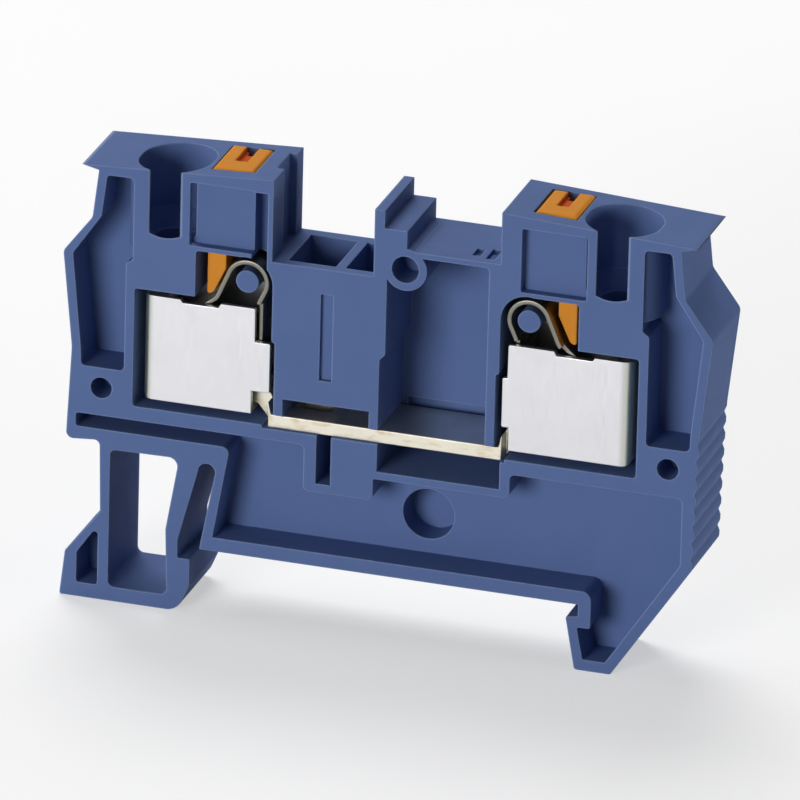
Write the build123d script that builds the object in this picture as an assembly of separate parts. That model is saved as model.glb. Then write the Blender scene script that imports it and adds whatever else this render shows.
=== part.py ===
from build123d import *
import math
import os

os.makedirs("parts", exist_ok=True)

# Feed-through terminal block for a 35 mm rail, all sizes in millimetres.
# X runs along the block, Y along the rail and Z upwards. The origin is the middle of the rail seat.
# The open side faces -Y, and "depth" is measured from it towards the closed side.
# Both ends hold the same clamping unit, so its x is measured outwards from the middle of the block.

# Whole block
block_length = 57.7
block_width = 8.2
top_height = 34.7
top_fall = 0.9
foot_drop = 6.0
lip_inset = 1.6
waist_inset = 0.95
waist_z = 17.0

# Rail that the feet grip
rail_width = 35.0
rail_flange = 1.0
rail_play = 0.2
hook_reach = 1.1
hook_play = 0.1
right_foot_width = 3.0
right_hook_lean = 0.9
right_flank_inset = 1.25
right_flank_z = 4.6

# Moulded walls
back_wall = 1.1
rim = 1.1
thin_wall = 0.8
web_wall = 1.2
edge_round = 0.5

# Peg that carries the spring, from the end of the block
peg_inset = 16.35
peg_z = 25.0
peg_radius = 1.0
peg_front_depth = 0.45

# Conductor entry, outwards of the peg
entry_offset = 7.3
entry_radius = 3.25
entry_stretch = 0.75
entry_wall = 1.25
entry_floor_z = 28.4
neck_radius = 1.9
tube_wall = 0.6

# Push button, outwards of the peg
button_offset = 1.75
button_head_width = 3.7
button_head_height = 3.0
button_front_depth = 1.5
button_travel = 2.0
button_play = 0.1
button_stand = 0.15
button_end_gap = 0.3
button_chamfer = 0.25
stem_offset = 2.25
stem_width = 1.65
stem_setback = 1.0
stem_foot_z = 22.85
stem_neck_z = 27.2
stem_taper = 0.3
stem_gap = 0.3
nib_reach = 0.4
nib_height = 0.8
driver_slot_width = 1.1
driver_slot_depth = 0.55
driver_slot_start = 2.0
notch_width = 0.7
notch_depth = 1.5
notch_length = 0.8

# Spring strip
spring_strip = 0.4
loop_radius = 1.95
loop_curl = 25.0
leg_slope = 67.0
leg_bend_z = 23.0
leg_bend_radius = 1.2
leg_reach = 7.45
leg_tip_z = 19.1
fixed_leg_offset = 1.1
fixed_leg_lift = 0.4
spring_front_depth = 0.4
spring_play = 0.2

# Contact cage of folded sheet, outwards of the peg unless it is said otherwise
cage_sheet = 0.5
cage_reach = 9.2
cage_bottom_z = 13.0
cage_top_z = 22.65
cage_fold = 1.0
cage_depth = 0.35
cage_play = 0.15
left_plate_inset = 0.8
right_plate_inset = 1.75
heel_inset = 2.2
heel_gap = 0.5
heel_bottom_z = 15.1
heel_top_z = 19.6
dip_start = 2.3
dip_end = 5.7
dip_depth = 0.4
spring_clearance = 0.35

# Current bar
bar_sheet = 1.2
bar_z = 12.0
bar_play = 0.1
bar_side_play = 0.15
bar_end_play = 0.8
bar_room_gap = 0.2
lug_thickness = 0.9
lug_drop = 1.25
bar_hole_x = -7.0
bar_hole_length = 3.4
bar_hole_width = 1.6

# Pockets around the metal parts
pocket_gap = 0.7
roof_gap = 0.5
loop_gap = 0.45
loop_roof_gap = 0.4

# Middle of the block
ridge_left = -1.2
ridge_right = -0.3
ridge_z = 33.4
step_right = 1.7
step_z = 31.8
shelf_z = 30.0
channel_z = 27.3
bay_top_z = 29.5
bay_jog = 0.5
bay_jog_z = 20.0
divider_left = -4.8
divider_right = -3.95
groove_x = -5.25
groove_width = 1.1
core_z = 9.5
core_slot_z = 7.6
core_slot_width = 1.3

# Sockets and pegs that line neighbouring blocks up
socket_depth = 3.0
end_socket_inset = 3.65
end_socket_z = 13.55
end_socket_radius = 0.95
middle_socket_x = 1.6
middle_socket_z = 28.3
middle_socket_radius = 1.2
align_play = 0.1
align_length = 1.2

# Round well in the web
well_x = 3.2
well_z = 4.8
well_radius = 2.3

# Ribs under the cages
rib_front_depth = 2.0

# Grooves along the right flank
flank_groove_count = 8
flank_groove_pitch = 1.5
flank_groove_low_z = 5.6
flank_groove_depth = 0.2
flank_groove_width = 1.0

# Button panel on the open side
panel_depth = 0.9
panel_low_z = 27.75
panel_high_z = 33.5
panel_left = -0.7
panel_right = 5.1
side_groove_overlap = 0.25
side_groove_width = 1.4

# Values that follow from the ones above
half_length = block_length / 2
open_y = -block_width / 2
over = block_width + 1
seat_end = rail_width / 2 + rail_play
slit_play = 2 * rail_play
hook_top_z = -rail_flange - hook_play
web_depth = (block_width - web_wall) / 2
pocket_depth = block_width - back_wall
peg_x = half_length - peg_inset
entry_x = peg_x + entry_offset
entry_depth = block_width - entry_wall - entry_radius - entry_stretch
button_x = peg_x + button_offset
button_far = pocket_depth - button_play
stem_inner_x = peg_x + stem_offset
stem_outer_x = stem_inner_x + stem_width
stem_far = button_far - stem_setback
cage_outer_x = peg_x + cage_reach
cage_far = pocket_depth - cage_play
heel_x = peg_x - heel_inset
pocket_inner_x = heel_x - heel_gap
pocket_shoulder_x = peg_x - loop_radius - loop_gap
pocket_outer_x = cage_outer_x + pocket_gap
pocket_bottom_z = cage_bottom_z - pocket_gap
pocket_top_z = cage_top_z + roof_gap
bar_top_z = bar_z + bar_sheet
channel_left = -(pocket_inner_x + 0.4)
shelf_right = pocket_inner_x + 0.2
bay_right = pocket_inner_x - thin_wall
bar_bend_x = pocket_inner_x + 0.7
bar_floor_x = bar_bend_x + bar_sheet


def section(corners):
    """Face from (x, z, corner radius) triples, drawn in the X-Z plane."""
    points = [(x, z) for x, z, r in corners]
    return make_face(FilletPolyline(*points, radius=[r for x, z, r in corners], close=True))


def plane_at(depth):
    """Plane behind the open side, looked at from the front."""
    return Plane(origin=(0, open_y + depth, 0), x_dir=(1, 0, 0), z_dir=(0, -1, 0))


def prism(corners, near, far):
    """Solid that carries an X-Z outline from one depth to another."""
    return extrude(plane_at(far) * section(corners), far - near)


def block(x_a, x_b, z_a, z_b, near, far):
    """Rectangular solid between two x, two z and two depths."""
    size = Box(abs(x_b - x_a), far - near, abs(z_b - z_a))
    return Pos((x_a + x_b) / 2, open_y + (near + far) / 2, (z_a + z_b) / 2) * size


def rod(x, z, radius, near, far):
    """Round solid along Y."""
    return extrude(plane_at(far) * Pos(x, z) * Circle(radius), far - near)


def sided(side, corners):
    """Corners measured outwards from the middle, for the left (-1) or the right (+1) end."""
    return [(side * x, z, r) for x, z, r in corners]


def inset(distance, z, radius=0):
    """Corner at a distance in from the end of the block."""
    return (half_length - distance, z, radius)


def flank_x(z):
    """The right flank leans out a little, from above the foot up to the waist."""
    lean = (right_flank_inset - waist_inset) / (waist_z - right_flank_z)
    return half_length - right_flank_inset + lean * (z - right_flank_z)


def tower_z(x):
    """Height of the sloping tower top at a distance from the middle."""
    run = half_length - lip_inset - shelf_right
    return top_height - top_fall * (abs(x) - shelf_right) / run


def upper_end():
    """Outer profile of either end, from the marking lip down to the waist."""
    lip_z = tower_z(half_length - lip_inset)
    return [
        inset(lip_inset, lip_z),
        inset(lip_inset + 1.5, lip_z - 0.35),
        inset(2.6, 29.1, 0.8),
        inset(0.05, 25.7, 0.8),
        inset(waist_inset, waist_z, 4.0),
    ]


def left_foot():
    """Profile of the sprung foot, from its shoulder round the hook to the rail seat."""
    hook_tip = seat_end + slit_play - hook_reach
    outer = [
        inset(0.55, 8.5, 0.6),
        inset(3.6, 8.75, 0.5),
        inset(3.75, 2.1),
        inset(0.65, -1.9, 0.3),
        inset(0.2, -foot_drop, 0.2),
    ]
    hook = [
        (seat_end + 0.3, -foot_drop, 1.6),
        (hook_tip, hook_top_z - 2.5, 1.0),
        (hook_tip, hook_top_z, 0.1),
        (seat_end + slit_play, hook_top_z, 0.15),
        (seat_end + slit_play, 0, 0),
    ]
    return sided(-1, outer + hook)


def right_foot():
    """Profile of the rigid foot, from the rail seat round the hook to the flank."""
    hook_tip = seat_end - hook_reach
    return [
        (seat_end, 0, 0.1),
        (seat_end, hook_top_z, 0.15),
        (hook_tip, hook_top_z - 0.15, 0.15),
        (hook_tip + right_hook_lean, -foot_drop, 0.3),
        (seat_end + right_foot_width, -foot_drop, 0.3),
        inset(right_flank_inset, right_flank_z, 0.4),
    ]


def housing_outline():
    """The whole side view of the moulding, clockwise from the left tower's inner corner."""
    top = [
        (ridge_left, channel_z, 0),
        (ridge_left, ridge_z, 0),
        (ridge_right, ridge_z, 0),
        (ridge_right, step_z, 0),
        (step_right, step_z, 0),
        (step_right, shelf_z, 0),
        (shelf_right, shelf_z, 0),
        (shelf_right, top_height, 0),
    ]
    left = [(channel_left, channel_z, 0), (channel_left, top_height, 0)]
    ends = sided(-1, upper_end()) + left_foot() + right_foot() + upper_end()[::-1]
    return left + ends + top[::-1]


def web_recess(near, far):
    """Hollow below the pockets, which leaves a rim all round and a thin web behind."""
    skirt_z = core_z + 0.25
    low_z = rim + 0.15
    roof_z = pocket_bottom_z - 1.3
    toe_z = rim - 0.1 - foot_drop
    step_z_low = core_z - 0.7
    corners = [
        (-(half_length - 1.4), skirt_z, 0.3),
        (-(seat_end - 4.1), skirt_z, 0.6),
        (-(seat_end - 2.7), low_z, 0.1),
        (seat_end + rim, low_z, 0.8),
        (seat_end + rim, hook_top_z - 1.0, 0.2),
        (seat_end - 0.1, hook_top_z - 1.0, 0.2),
        (seat_end + 0.5, toe_z, 0.2),
        (seat_end + right_foot_width - 0.5, toe_z, 0.2),
        inset(right_flank_inset + 1.05, right_flank_z + 0.3, edge_round),
        inset(right_flank_inset + 1.05, roof_z, edge_round),
        (pocket_inner_x + 1.5, roof_z, edge_round),
        (pocket_inner_x + 1.5, step_z_low, edge_round),
        (-0.8, step_z_low, 0.2),
        (-0.8, core_slot_z - 0.8, edge_round),
        (groove_x - 1.75, core_slot_z - 0.8, edge_round),
        (groove_x - 1.75, roof_z, edge_round),
        (-(half_length - 1.4), roof_z, 0.3),
    ]
    return prism(corners, near, far)


def foot_cavities():
    """Openings that let the left foot spring: a through window, a slit and a blind pocket."""
    sole_z = rim + 0.2 - foot_drop
    window = [
        inset(4.55, 8.0, 0.5),
        (seat_end + 0.4, 8.1, 0.8),
        (seat_end + 1.5, 1.4, 1.5),
        (seat_end + 1.3, sole_z, 0.6),
        inset(4.55, sole_z, 0.6),
    ]
    slit_top_z = 7.2
    slit_x = seat_end - 2.075
    slit_half = 0.775
    slit = [
        (seat_end + slit_play, -0.5, 0),
        (seat_end + slit_play, 0.6, 0.6),
        (slit_x + slit_half, slit_top_z, 0),
        (slit_x - slit_half, slit_top_z, 0),
        (seat_end - 1.6, 0.3, 0.2),
        (seat_end - 1.6, -0.5, 0),
    ]
    tab = [
        inset(3.6, 0.9, 0.3),
        inset(1.7, -1.9, 0.3),
        inset(1.7, sole_z, 0.3),
        inset(3.6, sole_z, 0.3),
    ]
    cut = prism(sided(-1, window), -1, over) + prism(sided(-1, slit), -1, over)
    cut += rod(-slit_x, slit_top_z, slit_half, -1, over)
    return cut + prism(sided(-1, tab), -1, web_depth)


def end_recess(side):
    """Tall hollow that leaves a thin outer wall at either end."""
    inner_x = pocket_outer_x + thin_wall
    corners = [
        inset(3.85, 33.1, 0.4),
        inset(3.4, 29.3, 0.6),
        inset(0.9, 25.6, 0.6),
        inset(waist_inset + thin_wall, waist_z, 3.0),
        inset(1.8, 15.4, 0.4),
        (inner_x, 15.4, 0.4),
        (inner_x, 25.3, 0.3),
        (inner_x - 0.6, 25.7, 0.3),
        (inner_x - 0.6, 33.1, 0.4),
    ]
    return prism(sided(side, corners), -1, web_depth + 0.5)


def entry_oval(radius):
    """Plan of the funnel: a circle drawn out a little along the block's width."""
    oval = Circle(radius) + Pos(0, entry_stretch) * Circle(radius)
    return oval + Pos(0, entry_stretch / 2) * Rectangle(2 * radius, entry_stretch)


def entry_tube(side):
    """The funnel's own wall, which bulges into the hollow at the end of the block."""
    bottom_z = entry_floor_z - (entry_radius - neck_radius) - tube_wall
    place = Pos(side * entry_x, open_y + entry_depth, bottom_z)
    return extrude(place * entry_oval(entry_radius + tube_wall), top_height - bottom_z)


def conductor_entry(side):
    """Funnel that breaks through the open side as a U, and the round neck below it."""
    oval = entry_oval(entry_radius)
    place = Pos(side * entry_x, open_y + entry_depth, entry_floor_z)
    funnel = extrude(place * oval, top_height - entry_floor_z)
    funnel += extrude(place * oval, -(entry_radius - neck_radius), taper=45)
    neck_height = entry_floor_z - pocket_top_z + 1
    neck = Pos(0, entry_stretch / 2, -neck_height / 2) * Cylinder(neck_radius, neck_height)
    return funnel + place * neck


def button_shaft(side):
    """Shaft for the button: a wide top for its head and a narrower one for its stem."""
    half_head = button_head_width / 2 + button_play
    floor = tower_z(button_x) - button_head_height - button_travel - button_end_gap
    near = button_front_depth - button_play
    inner = side * (button_x - half_head)
    outer = side * (button_x + half_head)
    head = block(inner, outer, floor, top_height + 1, near, button_far + button_play)
    inner = side * (stem_inner_x - button_play)
    outer = side * (stem_outer_x + button_play)
    stem = block(inner, outer, pocket_top_z, floor + 1, near, stem_far + button_play)
    return head + stem


def clamp_pocket(side):
    """Room for one cage and its spring, open to the front."""
    heel_roof_z = heel_top_z + spring_clearance
    cage_room = [
        (pocket_outer_x, pocket_bottom_z, 0.3),
        (pocket_outer_x, pocket_top_z, 0.3),
        (pocket_shoulder_x, pocket_top_z, 0),
        (pocket_shoulder_x, heel_roof_z, 0.2),
        (pocket_inner_x, heel_roof_z, 0.2),
        (pocket_inner_x, pocket_bottom_z, 0.2),
    ]
    loop_roof_z = peg_z + loop_radius + loop_roof_gap
    loop_outer_x = stem_outer_x + nib_reach + 0.2
    loop_room = [
        (pocket_shoulder_x, pocket_top_z - 1, 0),
        (pocket_shoulder_x, peg_z, 0),
        (peg_x, loop_roof_z, 0),
        (loop_outer_x, loop_roof_z, 0.3),
        (loop_outer_x, pocket_top_z - 1, 0),
    ]
    cut = prism(sided(side, cage_room), -1, pocket_depth)
    cut += prism(sided(side, loop_room), -1, pocket_depth)
    return cut + rod(side * peg_x, peg_z, peg_x - pocket_shoulder_x, -1, pocket_depth)


def button_panel(side):
    """Shallow field on the open side in front of the button shaft."""
    left, right = peg_x + panel_left, peg_x + panel_right
    corners = [
        (left, panel_low_z, 0.2),
        (right, panel_low_z, 0.2),
        (right, panel_high_z, 0.2),
        (left, panel_high_z, 0.2),
    ]
    return prism(sided(side, corners), -1, panel_depth)


def middle_hollows():
    """Bridge shafts, the open bay, the seat of the current bar and the cores below it."""
    near = rim - 0.2
    shaft_right = ridge_left - 0.1
    shafts = block(-bay_right, divider_left, bar_z, channel_z + 1, near, pocket_depth)
    shafts += block(divider_right, shaft_right, bar_z, channel_z + 1, near, pocket_depth)
    shafts += block(-bay_right, shaft_right, bar_z, bar_top_z + 1.7, -1, pocket_depth)
    bay = prism(
        [
            (-bay_jog, bar_z, 0),
            (-bay_jog, bay_jog_z - bay_jog / 2, 0.2),
            (0, bay_jog_z + bay_jog / 2, 0.2),
            (0, bay_top_z, 0.3),
            (bay_right, bay_top_z, 0.3),
            (bay_right, bar_z, 0),
        ],
        -1,
        pocket_depth,
    )
    undercut = block(0, bay_right, bar_z, bar_top_z + 0.6, -1, pocket_depth + 0.4)
    seat_x = pocket_inner_x + 1
    bar_room = block(-seat_x, seat_x, bar_z, bar_top_z + bar_play, -1, pocket_depth)
    half_slot = core_slot_width / 2
    core_slot = block(groove_x - half_slot, groove_x + half_slot, core_slot_z, bar_z + 1, -1, pocket_depth)
    core_bay = block(-bay_jog, pocket_inner_x + 0.6, core_z, bar_z + 0.5, -1, pocket_depth)
    half_groove = groove_width / 2
    groove_low_z = bar_top_z + 3.9
    groove = block(groove_x - half_groove, groove_x + half_groove, groove_low_z, channel_z - 2.3, -1, 0.4)
    return shafts + bay + undercut + bar_room + core_slot + core_bay + groove


def guide_grooves():
    """Grooves in the left tower for bridge combs, and notches in the right shelf."""
    low_z = peg_z + 1.0
    groove_outer = panel_left + side_groove_overlap
    groove_inner = groove_outer - side_groove_width
    cut = block(-(peg_x + groove_outer), -(peg_x + groove_inner), low_z, panel_high_z - 0.1, -1, 2.4)
    cut += block(channel_left - 0.7, channel_left + 1, channel_z, top_height + 1, 2.9, block_width - 1.6)
    notch_outer = shelf_right - 0.8
    for near, far in ((0.8, 3.1), (5.2, 7.2)):
        cut += block(notch_outer - 0.8, notch_outer, shelf_z - 0.9, shelf_z + 1, near, far)
    cut += block(notch_outer - 2.1, notch_outer - 1.4, shelf_z - 0.5, shelf_z + 1, 1.2, 2.8)
    return cut


def flank_grooves():
    """Shallow V grooves along the right flank."""
    grooves = []
    for number in range(flank_groove_count):
        z = flank_groove_low_z + flank_groove_pitch * number
        x = flank_x(z)
        outline = [
            (x - flank_groove_depth, z, 0),
            (x + flank_groove_depth, z - flank_groove_width, 0),
            (x + flank_groove_depth, z + flank_groove_width, 0),
        ]
        grooves.append(prism(outline, -1, over))
    return grooves


def sockets():
    """Blind holes on the open side."""
    end_x = half_length - end_socket_inset
    cut = rod(middle_socket_x, middle_socket_z, middle_socket_radius, -1, socket_depth)
    for side in (-1, 1):
        cut += rod(side * end_x, end_socket_z, end_socket_radius, -1, socket_depth)
    return cut


def alignment_pegs():
    """Pegs on the closed side, which enter the next block's sockets."""
    end_x = half_length - end_socket_inset
    far = block_width + align_length
    add = rod(middle_socket_x, middle_socket_z, middle_socket_radius - align_play, pocket_depth, far)
    for side in (-1, 1):
        add += rod(side * end_x, end_socket_z, end_socket_radius - align_play, pocket_depth, far)
    return add


def well(body):
    """Round blind well whose wall stands out of the web on both sides."""
    floor_depth = block_width - thin_wall - web_wall
    body += rod(well_x, well_z, well_radius + thin_wall, web_depth, floor_depth + web_wall)
    return body - rod(well_x, well_z, well_radius, -1, floor_depth)


def cage_ribs(side):
    """Spring peg, and two ribs under the cage that hold it up in its pocket."""
    add = rod(side * peg_x, peg_z, peg_radius, peg_front_depth, pocket_depth)
    for rib_x in (peg_x + 0.9, entry_x + 0.4):
        inner, outer = side * (rib_x - thin_wall / 2), side * (rib_x + thin_wall / 2)
        add += block(inner, outer, pocket_bottom_z, cage_bottom_z, rib_front_depth, pocket_depth)
    return add


def housing():
    """The one-piece moulding."""
    body = prism(housing_outline(), 0, block_width)
    body -= web_recess(-1, web_depth) + web_recess(block_width - web_depth, over)
    body -= foot_cavities()
    for side in (-1, 1):
        body -= end_recess(side) - entry_tube(side)
        body -= conductor_entry(side)
        body -= button_shaft(side)
        body -= clamp_pocket(side)
        body -= button_panel(side)
    body -= middle_hollows()
    body -= guide_grooves()
    body -= flank_grooves()
    boss_radius = middle_socket_radius + thin_wall - 0.1
    body += rod(middle_socket_x, middle_socket_z, boss_radius, 0, pocket_depth)
    body -= sockets()
    body += alignment_pegs()
    body = well(body)
    for side in (-1, 1):
        body += cage_ribs(side)
    return body


def folded_plan(side, drawn_in, fold):
    """Plan of the cage seen from above, drawn in by the sheet for its inside."""
    y_near = open_y + cage_depth + drawn_in
    y_far = open_y + cage_far - drawn_in
    x_near = heel_x - drawn_in
    x_far = cage_outer_x - drawn_in
    corners = [
        (side * x_near, y_near, 0),
        (side * x_far, y_near, fold),
        (side * x_far, y_far, fold),
        (side * x_near, y_far, 0),
    ]
    return section(corners)


def cage(side, plate_inset):
    """Folded sheet: front plate, rounded outer fold, back plate and a floor folded in."""
    plate_x = peg_x - plate_inset
    dip_z = cage_top_z - dip_depth
    front = [
        (plate_x, cage_top_z, 0.2),
        (peg_x + dip_start, cage_top_z, 0),
        (peg_x + dip_start + 0.2, dip_z, 0),
        (peg_x + dip_end, dip_z, 0),
        (peg_x + dip_end + 0.2, cage_top_z - 0.1, 0),
        (cage_outer_x, cage_top_z - 0.1, 0.3),
        (cage_outer_x, cage_bottom_z, edge_round),
        (plate_x + 0.2, cage_bottom_z, 0),
        (plate_x + 0.2, heel_bottom_z, 0),
        (heel_x, heel_bottom_z, 0.15),
        (heel_x, heel_top_z, 0.15),
        (plate_x, heel_top_z, 0),
    ]
    outline = prism(sided(side, front), cage_depth, cage_far)
    wrap = folded_plan(side, 0, cage_fold)
    hollow = folded_plan(side, cage_sheet, cage_fold - cage_sheet)
    rise = cage_top_z - cage_bottom_z
    shell = extrude(Pos(0, 0, cage_bottom_z) * wrap, rise)
    shell -= extrude(Pos(0, 0, cage_bottom_z + cage_sheet) * hollow, rise)
    window_x = bar_floor_x + bar_room_gap
    window_near = cage_depth + cage_sheet
    window = block(0, side * window_x, cage_bottom_z - 1, heel_bottom_z, window_near, cage_far - cage_sheet)
    return (shell & outline) - window


def current_bar():
    """Bent strip: flat middle, a step up into each cage and an upright contact lug."""
    floor_z = cage_bottom_z + cage_sheet
    lug_outer = cage_outer_x - cage_sheet
    lug_inner = lug_outer - lug_thickness
    lug_top_z = cage_top_z - lug_drop
    half = [
        (bar_bend_x, bar_z, 0.4),
        (bar_floor_x, floor_z, 0.2),
        (lug_outer, floor_z, bar_sheet),
        (lug_outer, lug_top_z, 0.2),
        (lug_inner, lug_top_z, 0.5),
        (lug_inner, floor_z + bar_sheet, 0.3),
        (bar_bend_x, floor_z + bar_sheet, 0.3),
        (bar_bend_x - 0.4, bar_top_z, 0.2),
    ]
    near = cage_depth
    far = cage_far - 2 * bar_side_play
    bar = prism(sided(-1, half)[::-1] + half, near, far)
    end_near = cage_depth + cage_sheet + bar_end_play
    end_far = cage_far - cage_sheet - bar_end_play
    trim_x = bar_bend_x - 0.1
    for side in (-1, 1):
        for low, high in ((-1, end_near), (end_far, block_width)):
            bar -= block(side * trim_x, side * half_length, bar_z - 1, cage_top_z, low, high)
    hole = SlotOverall(bar_hole_length, bar_hole_width)
    place = Pos(bar_hole_x, open_y + (near + far) / 2, bar_z)
    return bar - place * extrude(hole, bar_sheet)


def clamping_leg():
    """Where the clamping leg leaves the loop, and where it bends outwards."""
    leg = Vector(1, 0).rotate(Axis.Z, -leg_slope)
    leave = Vector(peg_x, peg_z) + Vector(-leg.Y, leg.X) * (loop_radius - spring_strip / 2)
    bend = leave + leg * ((leave.Y - leg_bend_z) / -leg.Y)
    return leave, bend


def spring_line():
    """Middle line of the strip: a fixed leg, a loop that curls in below, and the clamping leg."""
    middle = loop_radius - spring_strip / 2
    leave, bend = clamping_leg()
    curl = math.radians(loop_curl)
    join = Vector(peg_x - middle * math.cos(curl), peg_z - middle * math.sin(curl))
    leg_x = peg_x - fixed_leg_offset
    knee_z = join.Y - (leg_x - join.X) / math.tan(curl)
    foot_z = heel_bottom_z + fixed_leg_lift
    fixed = FilletPolyline((leg_x, foot_z), (leg_x, knee_z), (join.X, join.Y), radius=0.6)
    loop = ThreePointArc((join.X, join.Y), (peg_x, peg_z + middle), (leave.X, leave.Y))
    tip = (peg_x + leg_reach, leg_tip_z)
    clamp = FilletPolyline((leave.X, leave.Y), (bend.X, bend.Y), tip, radius=leg_bend_radius)
    return Wire([*fixed.edges(), *loop.edges(), *clamp.edges()])


def trace_strip(path):
    """Closed outline of a strip whose middle line is the path."""
    outside = path.offset_2d(spring_strip / 2, side=Side.LEFT, closed=False)
    inside = path.offset_2d(spring_strip / 2, side=Side.RIGHT, closed=False)
    a, b = outside @ 0, outside @ 1
    c, d = inside @ 0, inside @ 1
    if (Vector(a) - Vector(c)).length > (Vector(a) - Vector(d)).length:
        c, d = d, c
    return Wire([*outside.edges(), *inside.edges(), Edge.make_line(a, c), Edge.make_line(b, d)])


def spring(side):
    """Strip bent round the peg, wide over the peg and narrower where it enters the cage."""
    near, far = spring_front_depth, pocket_depth - spring_play
    solid = extrude(plane_at(far) * Face(trace_strip(spring_line())), far - near)
    leg_near = cage_depth + cage_sheet + spring_play
    leg_far = cage_far - cage_sheet - spring_play
    shoulder_z = cage_top_z + spring_clearance
    for low, high in ((-1, leg_near), (leg_far, block_width)):
        solid -= block(0, half_length, 0, shoulder_z, low, high)
    return solid if side > 0 else mirror(solid, Plane.YZ)


def button_stem(side, top):
    """Offset stem whose slanted flank stays clear of the clamping leg, and its retaining nib."""
    leave, bend = clamping_leg()
    away = spring_strip / 2 + stem_gap
    flank = Vector(leave.Y - bend.Y, bend.X - leave.X).normalized() * away
    knee = bend + flank + Vector(0.1, 0)
    slope = math.tan(math.radians(leg_slope))
    flank_top = leave.Y + flank.Y - (stem_inner_x - leave.X - flank.X) * slope
    head_z = top - button_head_height
    outline = [
        (stem_inner_x, head_z, 0),
        (stem_outer_x - stem_taper, head_z, 0),
        (stem_outer_x - stem_taper, stem_neck_z + 1, 0),
        (stem_outer_x, stem_neck_z, 0),
        (stem_outer_x, stem_foot_z, 0.2),
        (knee.X, knee.Y, 0.2),
        (stem_inner_x, flank_top, 0),
    ]
    stem = prism(sided(side, outline), button_front_depth, stem_far)
    nib_top = peg_z + loop_radius - 0.3
    nib_far = stem_far - 0.1
    inner, outer = side * (stem_outer_x - 0.1), side * (stem_outer_x + nib_reach)
    return stem + block(inner, outer, nib_top - nib_height, nib_top, nib_far - 2.4, nib_far)


def button(side):
    """Push button: slotted head with a notch at its back edge, on its stem."""
    top = tower_z(button_x) + button_stand
    half_head = button_head_width / 2
    half_slot = driver_slot_width / 2
    half_notch = notch_width / 2
    inner, outer = side * (button_x - half_head), side * (button_x + half_head)
    head = block(inner, outer, top - button_head_height, top, button_front_depth, button_far)
    body = head + button_stem(side, top)
    body = chamfer(body.edges().group_by(Axis.Z)[-1], button_chamfer)
    middle = side * button_x
    slot_near = button_front_depth + driver_slot_start
    slot = block(middle - half_slot, middle + half_slot, top - driver_slot_depth, top + 1, slot_near, over)
    notch_near = button_far - notch_length
    notch = block(middle - half_notch, middle + half_notch, top - notch_depth, top + 1, notch_near, over)
    return body - slot - notch


def main():
    pieces = {"housing": housing(), "current_bar": current_bar()}
    ends = ((-1, "left", left_plate_inset), (1, "right", right_plate_inset))
    for side, name, plate_inset in ends:
        pieces[name + "_cage"] = cage(side, plate_inset)
        pieces[name + "_spring"] = spring(side)
        pieces[name + "_button"] = button(side)
    for name, shape in pieces.items():
        export_step(shape, f"parts/{name}.step")


main()
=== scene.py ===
# %% [markdown]
# # A feed-through terminal block
#
# This lesson dresses a small wiring part for a product picture. The part is a thin blue moulding,
# open on one side, with two clamping units inside: a folded metal cage, a spring bent from flat
# strip and an orange release button on each end, and one bent bar that joins them.
#
# The solids come ready made, at their real size. Here they get what a camera notices and a drawing
# leaves out: rounded edges, springs bent from strip, grain in the plastic, tin on the metal, a floor,
# lamps and a camera.

# %% Load the frame
import math

import bmesh
import bpy
import numpy as np
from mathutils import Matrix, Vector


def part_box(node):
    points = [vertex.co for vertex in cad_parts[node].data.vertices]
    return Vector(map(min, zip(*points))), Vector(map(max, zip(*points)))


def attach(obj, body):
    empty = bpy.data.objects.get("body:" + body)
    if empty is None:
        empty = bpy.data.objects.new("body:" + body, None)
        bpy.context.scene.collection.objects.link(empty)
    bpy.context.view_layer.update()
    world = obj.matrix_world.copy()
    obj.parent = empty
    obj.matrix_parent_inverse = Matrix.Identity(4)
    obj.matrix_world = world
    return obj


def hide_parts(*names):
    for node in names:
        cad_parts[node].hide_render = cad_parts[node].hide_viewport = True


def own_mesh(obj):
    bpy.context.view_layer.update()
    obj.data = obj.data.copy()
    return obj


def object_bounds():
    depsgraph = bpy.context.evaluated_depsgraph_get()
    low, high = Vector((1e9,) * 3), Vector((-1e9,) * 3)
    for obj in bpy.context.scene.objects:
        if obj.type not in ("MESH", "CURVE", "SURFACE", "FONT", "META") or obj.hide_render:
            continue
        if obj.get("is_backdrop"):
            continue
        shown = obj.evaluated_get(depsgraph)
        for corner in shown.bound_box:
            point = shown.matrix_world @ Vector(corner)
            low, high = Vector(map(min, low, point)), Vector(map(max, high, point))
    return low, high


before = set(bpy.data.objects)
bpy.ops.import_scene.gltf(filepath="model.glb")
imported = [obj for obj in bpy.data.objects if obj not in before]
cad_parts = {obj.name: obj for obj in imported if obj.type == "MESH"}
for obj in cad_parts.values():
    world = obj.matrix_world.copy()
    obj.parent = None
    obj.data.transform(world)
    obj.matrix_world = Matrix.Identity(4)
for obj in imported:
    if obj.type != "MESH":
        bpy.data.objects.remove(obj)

MM = 0.001
cad_low, cad_high = (list(corner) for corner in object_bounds())
print("solids:", sorted(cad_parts))
print("box in mm:", [round((high - low) / MM, 2) for low, high in zip(cad_low, cad_high)])

# %% [markdown]
# ## Patterns and colours
#
# A finish could be a painted picture, wrapped round the piece. Here it is a small chain of nodes
# instead, which needs no wrapping and stays sharp from close by. Every pattern reads Object
# coordinates, which stay with the piece as it moves, and is measured in metres like the piece
# itself. So a pattern's scale is one over the size of its features.

# %% Patterns
def new_finish(name):
    """Empty material, its main shader and its node tree."""
    finish = bpy.data.materials.new(name)
    finish.use_nodes = True
    shader = finish.node_tree.nodes["Principled BSDF"]
    return finish, shader, finish.node_tree


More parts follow.
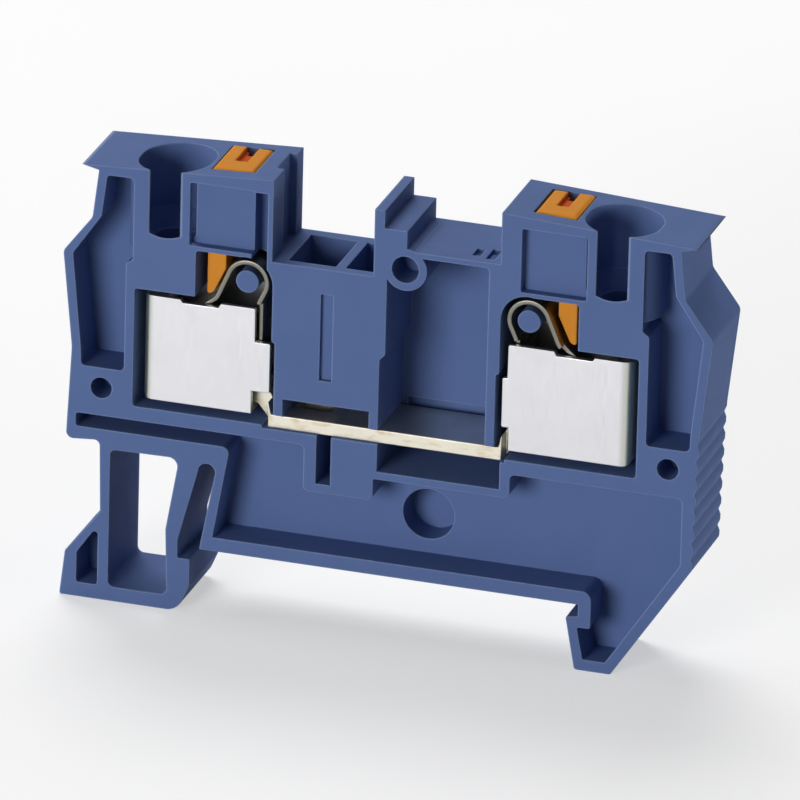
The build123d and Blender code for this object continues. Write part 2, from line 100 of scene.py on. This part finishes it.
def feature(tree, size, stretch=(1, 1, 1), detail=3.0):
    """Noise whose features are about one size across, longer where the stretch is above one."""
    place = tree.nodes.new("ShaderNodeTexCoord")
    scaling = tree.nodes.new("ShaderNodeMapping")
    scaling.inputs["Scale"].default_value = [1 / (size * longer) for longer in stretch]
    noise = tree.nodes.new("ShaderNodeTexNoise")
    noise.inputs["Scale"].default_value = 1.0
    noise.inputs["Detail"].default_value = detail
    tree.links.new(place.outputs["Object"], scaling.inputs["Vector"])
    tree.links.new(scaling.outputs["Vector"], noise.inputs["Vector"])
    return noise.outputs["Fac"]


def spread(tree, value, low=0.0, high=1.0, start=0.3, end=0.7):
    """Number that goes from low to high as the value goes from start to end, and stops there."""
    node = tree.nodes.new("ShaderNodeMapRange")
    node.inputs["From Min"].default_value = start
    node.inputs["From Max"].default_value = end
    node.inputs["To Min"].default_value = low
    node.inputs["To Max"].default_value = high
    tree.links.new(value, node.inputs["Value"])
    return node.outputs["Result"]


def calculate(tree, operation, *values):
    """Result of one Math node. Each value is another node's output or a plain number."""
    node = tree.nodes.new("ShaderNodeMath")
    node.operation = operation
    for socket, value in zip(node.inputs, values):
        if isinstance(value, float):
            socket.default_value = value
        else:
            tree.links.new(value, socket)
    return node.outputs[0]


print("features of 5 mm have the scale", round(1 / (5 * MM)))

# %% Colours and relief
def from_screen(red, green, blue):
    """Linear colour for a colour as it is read on a screen, 0 to 255."""
    share = np.array([red, green, blue]) / 255
    linear = np.where(share <= 0.04045, share / 12.92, ((share + 0.055) / 1.055) ** 2.4)
    return tuple(float(part) for part in linear)


def blend_colours(tree, amount, first, second):
    """First colour where the amount is 0, second where it is 1. Either may be another node's."""
    node = tree.nodes.new("ShaderNodeMix")
    node.data_type = "RGBA"
    tree.links.new(amount, node.inputs["Factor"])
    # A mix of colours has them in inputs 6 and 7 and gives its result in output 2.
    for socket, colour in ((node.inputs[6], first), (node.inputs[7], second)):
        if isinstance(colour, tuple):
            socket.default_value = (*colour, 1.0)
        else:
            tree.links.new(colour, socket)
    return node.outputs[2]


def paint_over(tree, shader, amount, colour):
    """Lays a further colour over the shader's own one, where the amount is above 0."""
    own = shader.inputs["Base Color"].links[0].from_socket
    tree.links.new(blend_colours(tree, amount, own, colour), shader.inputs["Base Color"])


def relief(tree, shader, height, depth, strength, base=None):
    """Bump of a real depth in metres, on the surface's own normal or on a base normal."""
    bump = tree.nodes.new("ShaderNodeBump")
    bump.inputs["Distance"].default_value = depth
    bump.inputs["Strength"].default_value = strength
    tree.links.new(height, bump.inputs["Height"])
    if base:
        tree.links.new(base, bump.inputs["Normal"])
    tree.links.new(bump.outputs["Normal"], shader.inputs["Normal"])


print("a mid blue is", [round(part, 3) for part in from_screen(84, 105, 155)], "in linear numbers")

# %% [markdown]
# ## Moulded plastic
#
# The housing and the buttons are injection-moulded nylon. It is never one flat colour: the melt leaves
# slow, faint clouds and the mould's spark-eroded wall leaves a fine grain. Its slightly rounded edges
# catch the light as thin bright lines, and here a paler colour along the outer edges is a painted
# highlight for them. One plain colour would look like a toy, and carving the grain would take millions
# of faces. So a noise for the clouds, one for the gloss, a fine one for the grain and an edge mask for
# the painted highlight give these.
#
# The mask compares the true surface with one whose edges are rounded off: the two differ close to an
# edge. They differ in an inner corner too. An Ambient Occlusion node is darker in such a corner, so it
# keeps the painted highlight on the outer edges.

# %% Pale edges, a painted highlight
edge_rounding = 0.22 * MM
alike_on_edge = 0.74
alike_on_flat = 0.985
corner_reach = 0.4 * MM
light_in_corner = 0.65
light_on_edge = 0.9


def rounded_normal(tree):
    """Normal of the surface as if its edges were rounded off."""
    rounded = tree.nodes.new("ShaderNodeBevel")
    rounded.samples = 4
    rounded.inputs["Radius"].default_value = edge_rounding
    return rounded.outputs["Normal"]


def edge_highlight_mask(tree, rounded):
    """Where the painted edge highlight goes: about 1 on an outer edge and 0 elsewhere. The dot product
    of the rounded and the true normal tells how alike they are, and the light that reaches the point
    rules out the corners."""
    surface = tree.nodes.new("ShaderNodeNewGeometry")
    alike = tree.nodes.new("ShaderNodeVectorMath")
    alike.operation = "DOT_PRODUCT"
    tree.links.new(rounded, alike.inputs[0])
    tree.links.new(surface.outputs["True Normal"], alike.inputs[1])
    likeness = alike.outputs["Value"]
    edge = spread(tree, likeness, low=1.0, high=0.0, start=alike_on_edge, end=alike_on_flat)
    corners = tree.nodes.new("ShaderNodeAmbientOcclusion")
    corners.samples = 3
    corners.only_local = True
    corners.inputs["Distance"].default_value = corner_reach
    outward = spread(tree, corners.outputs["AO"], start=light_in_corner, end=light_on_edge)
    return calculate(tree, "MULTIPLY", edge, outward)


print("edges look rounded by", round(edge_rounding / MM, 2), "mm")

# %% Blue nylon
cloud_size = 5 * MM
cloud_shade = 0.95
gloss_size = 1.5 * MM
grain_size = 0.14 * MM
grain_depth = 0.006 * MM


def moulded(name, colour, pale):
    """Satin nylon of one colour with slow clouds, a painted highlight in a paler colour along the
    edges, and a fine grain.
    """
    finish, shader, tree = new_finish(name)
    cloudy = tuple(cloud_shade * part for part in colour)
    body = blend_colours(tree, spread(tree, feature(tree, cloud_size)), colour, cloudy)
    rounded = rounded_normal(tree)
    # The paler colour along the outer edges is a painted highlight.
    with_painted_highlight = blend_colours(tree, edge_highlight_mask(tree, rounded), body, pale)
    tree.links.new(with_painted_highlight, shader.inputs["Base Color"])
    gloss = spread(tree, feature(tree, gloss_size), low=0.6, high=0.7)
    tree.links.new(gloss, shader.inputs["Roughness"])
    shader.inputs["IOR"].default_value = 1.53
    shader.inputs["Specular IOR Level"].default_value = 0.05
    grain = feature(tree, grain_size, detail=2.0)
    relief(tree, shader, grain, grain_depth, strength=0.5, base=rounded)
    return finish, shader, tree


# The second colour is the painted highlight along the outer edges.
blue_nylon = moulded("blue_nylon", from_screen(91, 112, 160), from_screen(150, 170, 212))[0]
print("made", blue_nylon.name)

# %% [markdown]
# ## Orange buttons
#
# The buttons are the same nylon in orange. The floor of the driver slot looks redder, because light
# that bounces between orange walls is coloured twice, and here that redder tone is painted bounce light
# and shade. The slot's faces could have a second material, but each of them would have to be picked out
# for it. The height on the piece is enough: the painted redder colour fills a thin layer below the
# button's top, in which the slot's floor lies.

# %% Orange nylon
painted_bounce_depth = 0.75 * MM
painted_bounce_half = 0.35 * MM


def button_nylon():
    """Orange nylon with painted redder bounce light and shade in a thin layer below the top of the
    buttons.
    """
    # Its second colour is the painted highlight along the outer edges.
    finish, shader, tree = moulded("orange_nylon", from_screen(222, 144, 52), from_screen(238, 172, 88))
    button_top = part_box("left_button")[1][2]
    place = tree.nodes.new("ShaderNodeTexCoord")
    split = tree.nodes.new("ShaderNodeSeparateXYZ")
    tree.links.new(place.outputs["Object"], split.inputs[0])
    middle = button_top - painted_bounce_depth
    # Painted bounce light and shade: a redder colour in the layer where the slot's floor lies.
    layer = calculate(tree, "COMPARE", split.outputs["Z"], middle, painted_bounce_half)
    paint_over(tree, shader, layer, from_screen(206, 92, 36))
    return finish


orange_nylon = button_nylon()
print("made", orange_nylon.name)

# %% [markdown]
# ## Metal
#
# Three metals are in view. The cages are bright tinned sheet, so even that they look almost white.
# Faces of the tin that look along the block, where the sheet turns round at the outer end, are painted
# a little more yellow as a painted warm reflection. The bar is tinned too, but it was punched out after
# tinning, so its cut edges show the bronze colour of the copper alloy. The springs are bare spring
# steel, darker and more mirror-like.
#
# Rolled sheet has fine marks along one direction. The shader could stretch its highlights that way
# without showing the marks. A noise stretched forty times along that direction shows them, in the
# roughness and as a very shallow relief. How far a face looks along an axis picks out two things with
# no second material: the faces that get the painted reflection on the cages, and the cut edges of the
# bar.

# %% Rolled metal
stain_size = 2.5 * MM
mark_width = 0.05 * MM
mark_depth = 0.002 * MM
mark_shine = 0.06
mark_dullness = 0.08
mark_stretch = 40
along_block = (mark_stretch, 1, 1)
across_block = (1, mark_stretch, 1)
upright = (1, 1, mark_stretch)


def rolled(name, colour, stain, rough, along):
    """Rolled metal with faint stains, and marks drawn out along one direction."""
    finish, shader, tree = new_finish(name)
    stains = spread(tree, feature(tree, stain_size), start=0.45, end=0.75)
    tree.links.new(blend_colours(tree, stains, colour, stain), shader.inputs["Base Color"])
    shader.inputs["Metallic"].default_value = 1.0
    marks = feature(tree, mark_width, stretch=along)
    gloss = spread(tree, marks, low=rough - mark_shine, high=rough + mark_dullness)
    tree.links.new(gloss, shader.inputs["Roughness"])
    relief(tree, shader, marks, mark_depth, strength=0.4)
    return finish, shader, tree


def facing(tree, axis, normal="True Normal"):
    """How far the surface looks along an axis, either way: the size of that part of its normal."""
    surface = tree.nodes.new("ShaderNodeNewGeometry")
    split = tree.nodes.new("ShaderNodeSeparateXYZ")
    tree.links.new(surface.outputs[normal], split.inputs[0])
    return calculate(tree, "ABSOLUTE", split.outputs[axis])


print("marks are", round(mark_stretch * mark_width / MM, 2), "mm long")

# %% Tin and steel
smear_size = 0.5 * MM
smear_stretch = (3, 1, 1)


def tinned_sheet_finish():
    """Bright tin with upright marks, and a painted warm reflection on faces that look along the block.
    """
    bright, dull, reflection_yellow = (0.57, 0.57, 0.59), (0.55, 0.55, 0.57), (0.57, 0.6, 0.49)
    finish, shader, tree = rolled("tinned_sheet", bright, dull, rough=0.36, along=upright)
    # Painted reflection: faces that look along X are tinted more yellow.
    painted_reflection_mask = spread(tree, facing(tree, "X", normal="Normal"), start=0.1, end=0.7)
    paint_over(tree, shader, painted_reflection_mask, reflection_yellow)
    return finish


def tinned_bar_finish():
    """Tinned faces and bronze cut edges: those are the faces that look across the block."""
    bright, dull = (0.64, 0.63, 0.58), (0.57, 0.55, 0.5)
    smeared_tin, bare_alloy = (0.64, 0.61, 0.52), (0.5, 0.4, 0.26)
    finish, shader, tree = rolled("tinned_bar", bright, dull, rough=0.34, along=along_block)
    smears = spread(tree, feature(tree, smear_size, stretch=smear_stretch), start=0.5, end=0.75)
    cut = spread(tree, facing(tree, "Y"), start=0.6, end=0.9)
    paint_over(tree, shader, cut, blend_colours(tree, smears, smeared_tin, bare_alloy))
    return finish


def spring_steel_finish():
    """Bare steel with brownish stains and marks across the strip."""
    steel, brownish = (0.2, 0.195, 0.165), (0.13, 0.11, 0.07)
    return rolled("spring_steel", steel, brownish, rough=0.3, along=across_block)[0]


tinned_sheet = tinned_sheet_finish()
tinned_bar = tinned_bar_finish()
spring_steel = spring_steel_finish()
print("made", tinned_sheet.name, tinned_bar.name, spring_steel.name)

# %% [markdown]
# ## Clean copies
#
# The solids arrive as loose triangles, which neither a bevel nor smooth shading can work on. They
# could be modelled again in Blender, but then they might not fit. So each rigid piece is a copy
# of its solid's mesh, with its doubles merged and the triangles of each flat face joined.

# %% Clean copies
merge_within = 0.002 * MM
flat_within = math.radians(0.4)
sharp_above = math.radians(32)


def put_in_scene(name, data):
    """Object at the origin that holds a mesh, a lamp or a camera."""
    item = bpy.data.objects.new(name, data)
    bpy.context.collection.objects.link(item)
    return item


def clean(mesh):
    """Merges a mesh's doubles, joins the triangles of each flat face and turns faces outwards."""
    shell = bmesh.new()
    shell.from_mesh(mesh)
    bmesh.ops.remove_doubles(shell, verts=shell.verts, dist=merge_within)
    bmesh.ops.dissolve_limit(
        shell, angle_limit=flat_within, verts=shell.verts, edges=shell.edges, delimit=set()
    )
    bmesh.ops.recalc_face_normals(shell, faces=shell.faces)
    shell.to_mesh(mesh)
    shell.free()


def clean_copy(node, name, finish, body):
    """Piece that stands for a solid: a clean copy of its mesh with its finish."""
    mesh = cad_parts[node].data.copy()
    mesh.name = name
    clean(mesh)
    mesh.materials.clear()
    mesh.materials.append(finish)
    mesh.shade_smooth()
    mesh.set_sharp_from_angle(angle=sharp_above)
    piece = put_in_scene(name, mesh)
    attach(piece, body)
    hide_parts(node)
    return piece


print("edges stay sharp above", round(math.degrees(sharp_above)), "degrees")

# %% Housing
def report(piece):
    """Prints how many points and faces a piece's mesh has."""
    print(f"{piece.name}: {len(piece.data.vertices)} points, {len(piece.data.polygons)} faces")


housing = clean_copy("housing", "blue_housing", blue_nylon, "block")
report(housing)

# %% [markdown]
# ## Even shading on the housing
#
# Smooth shading bends the light on large flat faces, because a point's normal is a mean of all
# the faces round it. Flat shading would show the facets of the round wells instead. Blender's
# Weighted Normal modifier favours large faces, but the housing's walls meet at every angle, and
# there it leans the normals of a wall towards its neighbour. So they are worked out here from
# near faces only: each corner of a face takes the mean of those that look much the same way.

# %% Even normals
alike_within = math.radians(35)


def read_all(parts, name, kind=float, width=1):
    """One value, or a row of them, for each face or corner of a mesh."""
    values = np.empty(len(parts) * width, dtype=kind)
    parts.foreach_get(name, values)
    return values if width == 1 else values.reshape(-1, width)


def corners_that_meet(point):
    """Every pair of face corners at the same point, each with itself too, as two arrays of corner
    numbers. In the order of their points, the corners of one point stand side by side, so a
    corner's partners are the first of them plus a step that counts from nought."""
    in_order = np.argsort(point, kind="stable")
    at_point = np.bincount(point)
    first = np.cumsum(at_point) - at_point
    partners = at_point[point]
    corner = np.repeat(np.arange(len(point)), partners)
    step = np.arange(len(corner)) - np.repeat(np.cumsum(partners) - partners, partners)
    return corner, in_order[first[point[corner]] + step]


def even_normals(mesh):
    """Gives each corner the mean normal of the faces round its point, each weighted by its area
    squared, out of those that lie within an angle of the corner's own face."""
    point = read_all(mesh.loops, "vertex_index", kind=int)
    sides = read_all(mesh.polygons, "loop_total", kind=int)
    area = read_all(mesh.polygons, "area")
    normal = read_all(mesh.polygons, "normal", width=3)
    face = np.repeat(np.arange(len(sides)), sides)
    corner, partner = corners_that_meet(point)
    own, other = face[corner], face[partner]
    near = (normal[own] * normal[other]).sum(axis=1) > math.cos(alike_within)
    total = np.zeros((len(point), 3))
    np.add.at(total, corner, (near * area[other] ** 2)[:, None] * normal[other])
    total /= np.linalg.norm(total, axis=1, keepdims=True)
    mesh.normals_split_custom_set(total)


even_normals(housing.data)
print("normals set at", len(housing.data.loops), "face corners")

# %% [markdown]
# ## Rounded edges
#
# A mould can't make a perfectly sharp edge, and a punched sheet has a burr or a roll-over. On
# screen such an edge is a thin bright line. The solids could be rounded one edge at a time where
# they are drawn, a modifier could round a mesh, or the shader could pretend.
#
# The bar, the cages and the buttons are simple, so a Bevel modifier rounds their sharp edges, and
# a Weighted Normal modifier keeps their flat faces flat. The housing has hundreds of narrow walls
# where such a bevel would run into itself, so there the shader's rounded normal is enough.

# %% Bar, cages and buttons
bar_rounding = 0.08 * MM
cage_rounding = 0.06 * MM
button_rounding = 0.07 * MM


def round_edges(piece, radius):
    """Rounds the sharp edges, and lets the largest face at each point set the normal there."""
    bevel = piece.modifiers.new("edges", "BEVEL")
    bevel.width = radius
    bevel.segments = 2
    bevel.limit_method = "ANGLE"
    bevel.angle_limit = sharp_above
    bevel.use_clamp_overlap = False
    flats = piece.modifiers.new("flats", "WEIGHTED_NORMAL")
    flats.mode = "FACE_AREA"
    flats.keep_sharp = True
    report(piece)


bar = clean_copy("current_bar", "tinned_current_bar", tinned_bar, "block")
round_edges(bar, bar_rounding)
for side_name in ("left", "right"):
    cage = clean_copy(f"{side_name}_cage", f"{side_name}_tinned_cage", tinned_sheet, "block")
    round_edges(cage, cage_rounding)
    release = f"{side_name}_release"
    button = clean_copy(f"{side_name}_button", f"{side_name}_orange_button", orange_nylon, release)
    round_edges(button, button_rounding)

# %% [markdown]
# ## Surfaces from tables of points
#
# The springs and the floor are new shapes. A shape is a table of points, rows by columns.
# Neighbouring points make a face, so the faces follow from the table's size alone, and numpy can
# write them all at once. The last column may meet the first, which closes a tube, and two flat
# caps then close its ends.

# %% Surface helpers
def new_piece(name, points, faces):
    """Mesh object at the origin, from an array of points and a list of faces. The faces are turned
    to look the same way, which is outwards on a closed shape."""
    mesh = bpy.data.meshes.new(name)
    mesh.from_pydata(points, [], faces)
    mesh.update()
    shell = bmesh.new()
    shell.from_mesh(mesh)
    bmesh.ops.recalc_face_normals(shell, faces=shell.faces)
    shell.to_mesh(mesh)
    shell.free()
    return put_in_scene(name, mesh)


def grid_faces(rows, columns):
    """Corner numbers of every face of a closed tube. Point (row, column) has the number
    row * columns + column, and the column after the last one is the first."""
    row, column = np.meshgrid(np.arange(rows - 1), np.arange(columns), indexing="ij")
    following = (column + 1) % columns
    corners = [row * columns + column, row * columns + following,
               (row + 1) * columns + following, (row + 1) * columns + column]
    return np.stack(corners, axis=-1).reshape(-1, 4).tolist()


def swept(name, path, side, profiles):
    """Closed bar: each point of the path plus its profile's first number along the path's normal
    and its second number along the side direction. The normal is the path's tangent crossed
    with the side direction. There is one profile, a ring of number pairs, for each path point."""
    tangent = np.gradient(path, axis=0)
    tangent /= np.linalg.norm(tangent, axis=1, keepdims=True)
    normal = np.cross(tangent, side)
    points = path[:, None] + profiles[:, :, :1] * normal[:, None] + profiles[:, :, 1:] * side
    rows, columns = points.shape[:2]
    faces = grid_faces(rows, columns)
    faces.append(list(range(columns)))
    faces.append(list(range((rows - 1) * columns, rows * columns)))
    return new_piece(name, points.reshape(-1, 3), faces)


print("a tube of 3 rings of 4 points has", len(grid_faces(3, 4)), "side faces")

# %% [markdown]
# ## Springs
#
# Each spring is a flat strip bent round a peg: a fixed leg stands against the cage's heel, the loop
# goes over the peg, and the clamping leg slants down into the cage. Pressing the button swings that leg
# inwards. One stiff mesh can't do this, so the strip is two pieces that meet where the leg leaves the
# loop, and the leg has a mesh of its own.
#
# A curve with a bevel could draw the strip, but where it tapers it gets thinner as well. Here a
# flat bar with rounded edges is carried along the middle line, with its own width at each point.
# The loop is a little over half a circle, so its points come from cosine and sine, and both legs
# are straight runs with a small bend. The strip is wide over the peg and is cut narrower where it
# goes down between the walls of the cage.

# %% Spring sizes
# Thickness of the strip, and the rounding of its edges
strip = 0.4 * MM
strip_edge = 0.08 * MM
# Radius of the loop's middle line, and how far it curls in below the peg
loop_radius = 1.75 * MM
loop_curl = math.radians(25)
# How far the fixed leg stands from the peg's middle, and how far from its corner its bend begins
fixed_leg_inset = 1.1 * MM
fixed_bend = 0.13 * MM
# Slope of the clamping leg, where its bend begins, and its tip from the cage's end and top
leg_angle = math.radians(67)
leg_bend = 0.6 * MM
tip_inset = 1.75 * MM
tip_depth = 3.55 * MM
# Sheet of the cage, and the play beside the leg and between the cage's top and the shoulder
cage_wall = 0.5 * MM
side_play = 0.2 * MM
shoulder_play = 0.35 * MM


def right_hand_box(node):
    """Lowest and highest corner of a piece, as if it were the one on the right."""
    low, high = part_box(node)
    inner, outer = sorted((abs(low[0]), abs(high[0])))
    return np.array([inner, low[1], low[2]]), np.array([outer, high[1], high[2]])


spring_low, spring_high = right_hand_box("left_spring")
print("spring in mm:", [round(float(size) / MM, 2) for size in spring_high - spring_low])

# %% Spring lines
loop_points = 56
bend_points = 16
run_points = 28


def straight(start, end):
    """Evenly spaced points from start to end, both included."""
    share = np.linspace(0, 1, run_points)[:, None]
    return start * (1 - share) + end * share


def softened_corner(start, corner, end, cut):
    """Two straight runs with a parabola between them, which begins and ends at one distance from
    the corner. Its points are a mean of where it begins, the corner and where it ends, weighted
    by the first share squared, twice the product of both shares and the second share squared."""
    start, corner, end = (np.array(point, float) for point in (start, corner, end))
    enter = corner + (start - corner) / np.linalg.norm(start - corner) * cut
    leave = corner + (end - corner) / np.linalg.norm(end - corner) * cut
    share = np.linspace(0, 1, bend_points)[:, None]
    curve = enter * (1 - share) ** 2 + 2 * corner * share * (1 - share) + leave * share ** 2
    return np.vstack([straight(start, enter)[:-1], curve, straight(leave, end)[1:]])


def spring_lines(low, high, bend_height, tip):
    """Middle lines of the fixed part and of the clamping leg for the right spring, as x and z.
    The loop is its centre plus its radius times cosine and sine, over the top to the right."""
    centre = np.array([low[0] + strip / 2 + loop_radius, high[2] - strip / 2 - loop_radius])
    turn = np.linspace(math.pi + loop_curl, math.pi / 2 - leg_angle, loop_points)[:, None]
    loop = centre + loop_radius * np.hstack([np.cos(turn), np.sin(turn)])
    fixed_x = centre[0] - fixed_leg_inset
    knee = (fixed_x, loop[0, 1] - (fixed_x - loop[0, 0]) / math.tan(loop_curl))
    fixed = softened_corner((fixed_x, low[2]), knee, loop[0], fixed_bend)
    down = np.array([math.cos(leg_angle), -math.sin(leg_angle)])
    bend = loop[-1] + down * (loop[-1, 1] - bend_height) / math.sin(leg_angle)
    clamping = softened_corner(loop[-1], bend, tip, leg_bend)
    return np.vstack([fixed[:-1], loop]), clamping


print("points round the loop:", loop_points)

# %% Strip section and shoulder
rounding_points = 5
shoulder_share = 0.02


def strip_section(width):
    """Flat bar with rounded corners, as thickness and width offsets from its middle. A corner is
    its centre plus the rounding times cosine and sine of a quarter turn."""
    quarter = np.linspace(0, math.pi / 2, rounding_points)
    corners = []
    for number, (across, along) in enumerate(((1, 1), (-1, 1), (-1, -1), (1, -1))):
        turn = quarter + number * math.pi / 2
        centre = np.array([across * (strip / 2 - strip_edge), along * (width / 2 - strip_edge)])
        corners.append(centre + strip_edge * np.stack([np.cos(turn), np.sin(turn)], axis=1))
    return np.vstack(corners)


def with_shoulder(line, height):
    """The line with two more points where it passes a height, for a step in its width. They are a
    small share of the way between its own points apart."""
    above = line[:, 1] > height
    before = int(np.flatnonzero(above[1:] != above[:-1])[0])
    share = (height - line[before, 1]) / (line[before + 1, 1] - line[before, 1])
    further = share + shoulder_share if share < 0.5 else share - shoulder_share
    shares = sorted((share, further))
    cuts = [line[before] + part * (line[before + 1] - line[before]) for part in shares]
    return np.vstack([line[:before + 1], cuts, line[before + 1:]])


print("points in the section:", len(strip_section(spring_high[1] - spring_low[1])))

# %% Springs
strip_sharp_above = math.radians(50)


def strip_piece(name, line, side, middle, shoulder, wide, narrow):
    """Strip along a middle line, wide above the shoulder and narrow below it. A side of -1 puts
    it on the left, because it changes the sign of x."""
    line = with_shoulder(line, shoulder)
    path = np.stack([side * line[:, 0], np.full(len(line), middle), line[:, 1]], axis=1)
    profiles = np.where(line[:, 1, None, None] > shoulder, wide, narrow)
    piece = swept(name, path, np.array([0.0, 1.0, 0.0]), profiles)
    piece.data.materials.append(spring_steel)
    piece.data.shade_smooth()
    piece.data.set_sharp_from_angle(angle=strip_sharp_above)
    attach(piece, "block")
    report(piece)
    return piece


def spring(side_name, side):
    """One spring, as two pieces: a loop, and a leg that gets a mesh of its own."""
    low, high = right_hand_box(f"{side_name}_spring")
    cage_low, cage_high = right_hand_box(f"{side_name}_cage")
    shoulder = cage_high[2] + shoulder_play
    tip = (cage_high[0] - tip_inset, cage_high[2] - tip_depth)
    loop_line, leg_line = spring_lines(low, high, shoulder, tip)
    middle = (low[1] + high[1]) / 2
    wide = strip_section(high[1] - low[1])
    narrow = strip_section(cage_high[1] - cage_low[1] - 2 * (cage_wall + side_play))
    loop = strip_piece(f"{side_name}_spring_loop", loop_line, side, middle, shoulder, wide, narrow)
    leg = strip_piece(f"{side_name}_spring_leg", leg_line, side, middle, shoulder, wide, narrow)
    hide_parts(f"{side_name}_spring")
    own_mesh(leg)


spring("left", -1)
spring("right", 1)

# %% [markdown]
# ## Floor
#
# The block stands on its two feet on a plain pale floor. The floor could be one square, but a
# disc has no corner that could come into the picture. It is worked out from a radius and an angle,
# wide enough to pass every edge of the picture. Its colour is a pale grey, and rays from the
# camera, and those that a shiny surface or glass sends on, also see a weak glow. So the floor
# looks white in the picture and in the metal and still keeps the shadow.

# %% Floor disc
floor_radius = 3.0
rings = 24
spokes = 96


def floor_disc(height):
    """Point at each radius and angle: radius times cosine and sine, at one height. The radius
    grows with the square of the ring's number, so the small faces are in the middle."""
    reach = np.linspace(0, 1, rings)[1:, None] ** 2 * floor_radius
    turn = np.linspace(0, 2 * math.pi, spokes, endpoint=False)[None, :]
    level = np.full((rings - 1, spokes), height)
    circles = np.stack([reach * np.cos(turn), reach * np.sin(turn), level], axis=-1)
    points = np.vstack([circles.reshape(-1, 3), [[0, 0, height]]])
    middle = len(points) - 1
    fan = [[number, (number + 1) % spokes, middle] for number in range(spokes)]
    return new_piece("floor", points, grid_faces(rings - 1, spokes) + fan)


floor = floor_disc(cad_low[2])
floor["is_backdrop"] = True
report(floor)

# %% Floor paint
cloud_width = 60 * MM
floor_glow = 0.5


def seen_rays(tree):
    """1 for rays from the camera and for those that gloss or glass sends on, 0 for the rest."""
    rays = tree.nodes.new("ShaderNodeLightPath")
    from_camera = rays.outputs["Is Camera Ray"]
    by_gloss = rays.outputs["Is Glossy Ray"]
    by_glass = rays.outputs["Is Transmission Ray"]
    return calculate(tree, "MAXIMUM", calculate(tree, "MAXIMUM", from_camera, by_gloss), by_glass)


def pale_floor_finish():
    """Pale matt grey with wide, faint clouds and a weak glow of its own."""
    finish, shader, tree = new_finish("pale_floor")
    grey, cloudy = (0.55, 0.55, 0.55), (0.53, 0.53, 0.535)
    clouds = spread(tree, feature(tree, cloud_width))
    tree.links.new(blend_colours(tree, clouds, grey, cloudy), shader.inputs["Base Color"])
    shader.inputs["Roughness"].default_value = 0.9
    shader.inputs["Specular IOR Level"].default_value = 0.1
    shader.inputs["Emission Color"].default_value = (1, 1, 1, 1)
    glow = spread(tree, seen_rays(tree), high=floor_glow, start=0.0, end=1.0)
    tree.links.new(glow, shader.inputs["Emission Strength"])
    return finish


pale_floor = pale_floor_finish()
floor.data.materials.append(pale_floor)
print("made", pale_floor.name)

# %% [markdown]
# ## Light
#
# A product picture wants large soft lamps. A bright sky alone would be simpler, but it fills the
# hollows as much as the faces. A moulding full of hollows reads best when each lamp serves one
# side, and the sky adds only a little, so that the hollows stay deep.
#
# The front lamp is almost level, so it lights the open side and leaves the ledges in shade. The
# back lamp stands high behind and lights the tops. Two side lamps light the ends, and the right
# one is small and almost level, so that the towers shade each other. A lamp's strength here is
# the share of a white sheet's brightness that it makes at the block: a lamp of power P at distance
# d gives P / (pi * pi * d * d).

# %% Lamps
block_middle = np.array([(low + high) / 2 for low, high in zip(cad_low, cad_high)])
lamp_distance = 0.8


def around(azimuth, elevation, distance):
    """Point at a distance from the block: azimuth 0 is in front of the open side, + is to the right."""
    turn, rise = math.radians(azimuth), math.radians(elevation)
    away = np.array([math.sin(turn) * math.cos(rise), -math.cos(turn) * math.cos(rise), math.sin(rise)])
    return block_middle + distance * away


def aim(item, position, roll=0.0):
    """Puts a lamp or camera at a position and turns it to the block, then rolls it on its axis."""
    away = position - block_middle
    turn = math.atan2(away[0], -away[1])
    rise = math.atan2(away[2], math.hypot(away[0], away[1]))
    item.rotation_mode = "XYZ"
    item.location = position.tolist()
    item.rotation_euler = (math.pi / 2 - rise, 0.0, turn)
    item.rotation_euler.rotate_axis("Z", math.radians(roll))


def lamp(name, share, azimuth, elevation, width):
    """Round soft lamp that makes a share of white at the block."""
    light = bpy.data.lights.new(name, "AREA")
    light.shape = "DISK"
    light.size = width
    light.energy = share * (math.pi * lamp_distance) ** 2
    aim(put_in_scene(name, light), around(azimuth, elevation, lamp_distance))


lamp("front_lamp", share=0.73, azimuth=-18, elevation=8, width=0.4)
lamp("back_lamp", share=0.66, azimuth=-155, elevation=56, width=0.5)
lamp("right_lamp", share=0.32, azimuth=92, elevation=3, width=0.2)
lamp("left_lamp", share=0.26, azimuth=-92, elevation=16, width=0.4)

# %% Sky
sky_on_block = 0.07
sky_in_view = 1.0

world = bpy.data.worlds.new("studio")
bpy.context.scene.world = world
world.use_nodes = True
tree = world.node_tree
sky = tree.nodes["Background"]
sky.inputs["Color"].default_value = (1, 1, 1, 1)
strength = spread(tree, seen_rays(tree), low=sky_on_block, high=sky_in_view, start=0.0, end=1.0)
tree.links.new(strength, sky.inputs["Strength"])
print("sky on the block:", sky_on_block)

# %% [markdown]
# ## Camera
#
# The picture is taken from a little to the right and above. A short lens close by would spread
# the ends apart, so this is a long lens from far away, which keeps parallel edges almost parallel.
# The lens follows from how large the block should be: at a distance d, a lens of focal length f
# on a 36 mm sensor shows a frame of 36 / f * d.

# %% Camera
view_azimuth, view_elevation, view_roll = 17.0, 22.5, 1.5
view_distance = 1.4
frame_width = 68 * MM

camera_data = bpy.data.cameras.new("camera")
camera_data.sensor_width = 36.0
camera_data.lens = camera_data.sensor_width * view_distance / frame_width
camera_data.clip_start = 0.05
camera = put_in_scene("camera", camera_data)
aim(camera, around(view_azimuth, view_elevation, view_distance), roll=view_roll)
bpy.context.scene.camera = camera
bpy.context.scene.view_settings.view_transform = "Standard"
print("lens in mm:", round(camera_data.lens, 1))

# %% [markdown]
# ## Sizes
#
# The dressed block has to be as large as the solids, so the last cell prints how far each side of its
# box has grown beyond theirs.

# %% Sizes and finish
dressed_low, dressed_high = (list(corner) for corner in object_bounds())
grown = [round((a - b) / MM, 3) for a, b in zip(dressed_high + cad_low, cad_high + dressed_low)]
print("grown in mm:", grown)
